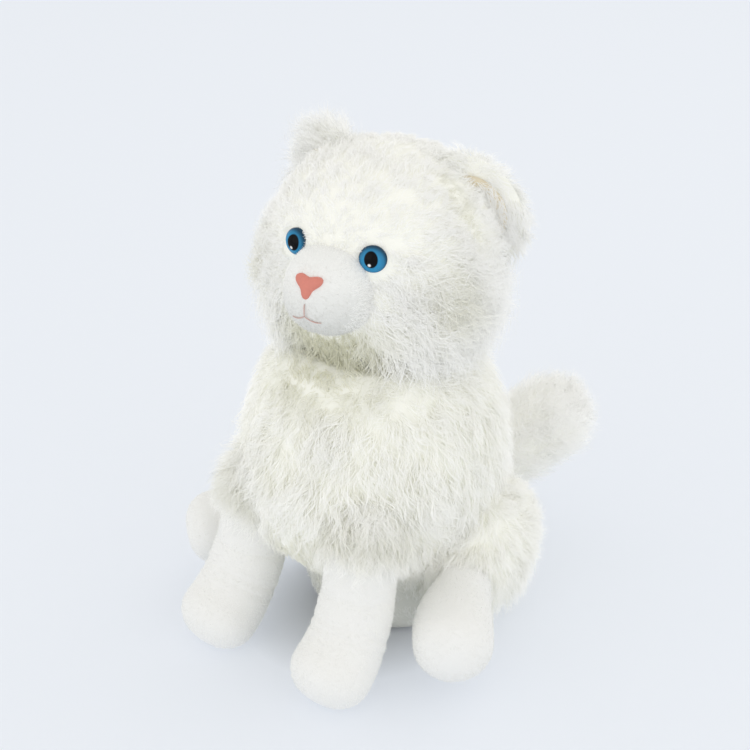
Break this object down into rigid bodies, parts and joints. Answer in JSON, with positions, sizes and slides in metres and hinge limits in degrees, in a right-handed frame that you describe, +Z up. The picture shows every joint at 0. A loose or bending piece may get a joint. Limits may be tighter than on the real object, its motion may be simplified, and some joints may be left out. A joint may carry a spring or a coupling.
{
  "type": "interactive plush cat",
  "caption": "Sitting long-haired white plush cat with a head that turns, legs and tail that swing, safety eyes, and a sound, purr and battery box inside.",
  "frame": {"origin": "on the floor, under the middle of the whole toy's box", "axes": "+Z up, -Y the way the body faces, +X toward the cat's left side"},
  "size_m": [0.2178, 0.2633, 0.2855],
  "materials": {
    "long_pile": "long-pile white plush over fibre fill",
    "short_pile": "short-pile white plush over fibre fill",
    "ear_lining": "short-pile tan plush",
    "eye_blue": "clear gloss over a blue iris",
    "nose_pink": "satin moulded",
    "nylon": "natural nylon",
    "case_abs": "moulded",
    "dark_abs": "moulded",
    "acetal": "moulded",
    "steel": "plated",
    "nickel_strip": "nickel plated",
    "board_green": "solder mask",
    "cone_paper": "paper",
    "cell_wrap": "printed wrap without words"
  },
  "bodies": {
    "torso": {"torso": "long_pile", "case_base": "case_abs", "case_cover": "case_abs", "case_screw_1": "steel", "case_screw_2": "steel", "case_screw_3": "steel", "case_screw_4": "steel", "battery_1": "cell_wrap", "battery_2": "cell_wrap", "battery_3": "cell_wrap", "contact_left": "nickel_strip", "contact_right": "nickel_strip", "circuit_board": "board_green", "speaker": "steel", "speaker_cone": "cone_paper", "gear_deck": "dark_abs", "gear_motor": "steel", "neck_bush": "acetal", "purr_motor": "steel", "power_switch": "dark_abs", "touch_switch": "board_green"},
    "head": {"head": "long_pile", "muzzle": "short_pile", "ear_left": "long_pile", "ear_right": "long_pile", "ear_lining_left": "ear_lining", "ear_lining_right": "ear_lining", "eye_left": "eye_blue", "eye_right": "eye_blue", "eye_washer_left": "nylon", "eye_washer_right": "nylon", "nose": "nose_pink", "nose_washer": "nylon", "neck_gear": "acetal", "neck_shaft": "steel", "shaft_clip": "steel", "head_plate": "acetal"},
    "pinion": {"drive_pinion": "acetal", "motor_shaft": "steel"},
    "front_leg_left": {"front_leg_left": "long_pile", "front_paw_left": "short_pile"},
    "front_leg_right": {"front_leg_right": "long_pile", "front_paw_right": "short_pile"},
    "hind_leg_left": {"thigh_left": "long_pile", "hind_paw_left": "short_pile"},
    "hind_leg_right": {"thigh_right": "long_pile", "hind_paw_right": "short_pile"},
    "tail": {"tail": "long_pile"},
    "battery_door": {"battery_door": "case_abs", "door_screw": "steel"},
    "switch_slider": {"switch_slider": "dark_abs"},
    "pet_button": {"pet_button": "acetal"},
    "purr_weight": {"purr_weight": "steel"}
  },
  "joints": [
    {"name": "head_turn", "type": "hinge", "parent": "torso", "child": "head", "pos_m": [0, -0.02273, 0.1765], "axis": [0, 0, 1], "range_deg": [-45, 25]},
    {"name": "pinion_spin", "type": "hinge", "parent": "torso", "child": "pinion", "pos_m": [0, 0.00127, 0.0855], "axis": [0, 0, 1], "range_deg": [-76, 136]},
    {"name": "front_leg_left_swing", "type": "hinge", "parent": "torso", "child": "front_leg_left", "pos_m": [0.037, -0.07779, 0.094], "axis": [-1, 0, 0], "range_deg": [0, 40]},
    {"name": "front_leg_right_swing", "type": "hinge", "parent": "torso", "child": "front_leg_right", "pos_m": [-0.037, -0.07779, 0.094], "axis": [-1, 0, 0], "range_deg": [0, 40]},
    {"name": "hind_leg_left_swing", "type": "hinge", "parent": "torso", "child": "hind_leg_left", "pos_m": [0.05, 0.00127, 0.044], "axis": [-1, 0, 0], "range_deg": [0, 22]},
    {"name": "hind_leg_right_swing", "type": "hinge", "parent": "torso", "child": "hind_leg_right", "pos_m": [-0.05, 0.00127, 0.044], "axis": [-1, 0, 0], "range_deg": [0, 22]},
    {"name": "tail_swing", "type": "hinge", "parent": "torso", "child": "tail", "pos_m": [0, 0.05689, 0.046], "axis": [0, 0, 1], "range_deg": [-20, 20]},
    {"name": "battery_door_hinge", "type": "hinge", "parent": "torso", "child": "battery_door", "pos_m": [0, -0.03373, 0.005], "axis": [-1, 0, 0], "range_deg": [0, 80]},
    {"name": "switch_slide", "type": "slide", "parent": "torso", "child": "switch_slider", "axis": [1, 0, 0], "range_m": [0, 0.004]},
    {"name": "pet_button_press", "type": "slide", "parent": "torso", "child": "pet_button", "axis": [0, -1, 0], "range_m": [0, 0.0025], "stiffness_N_per_m": 300, "springref_m": -0.001},
    {"name": "purr_weight_spin", "type": "hinge", "parent": "torso", "child": "purr_weight", "pos_m": [-0.02, -0.01273, 0.054], "axis": [0, 1, 0], "continuous": true}
  ],
  "couplings": [
    {"joint": "pinion_spin", "follows": "head_turn", "ratio": -3}
  ]
}
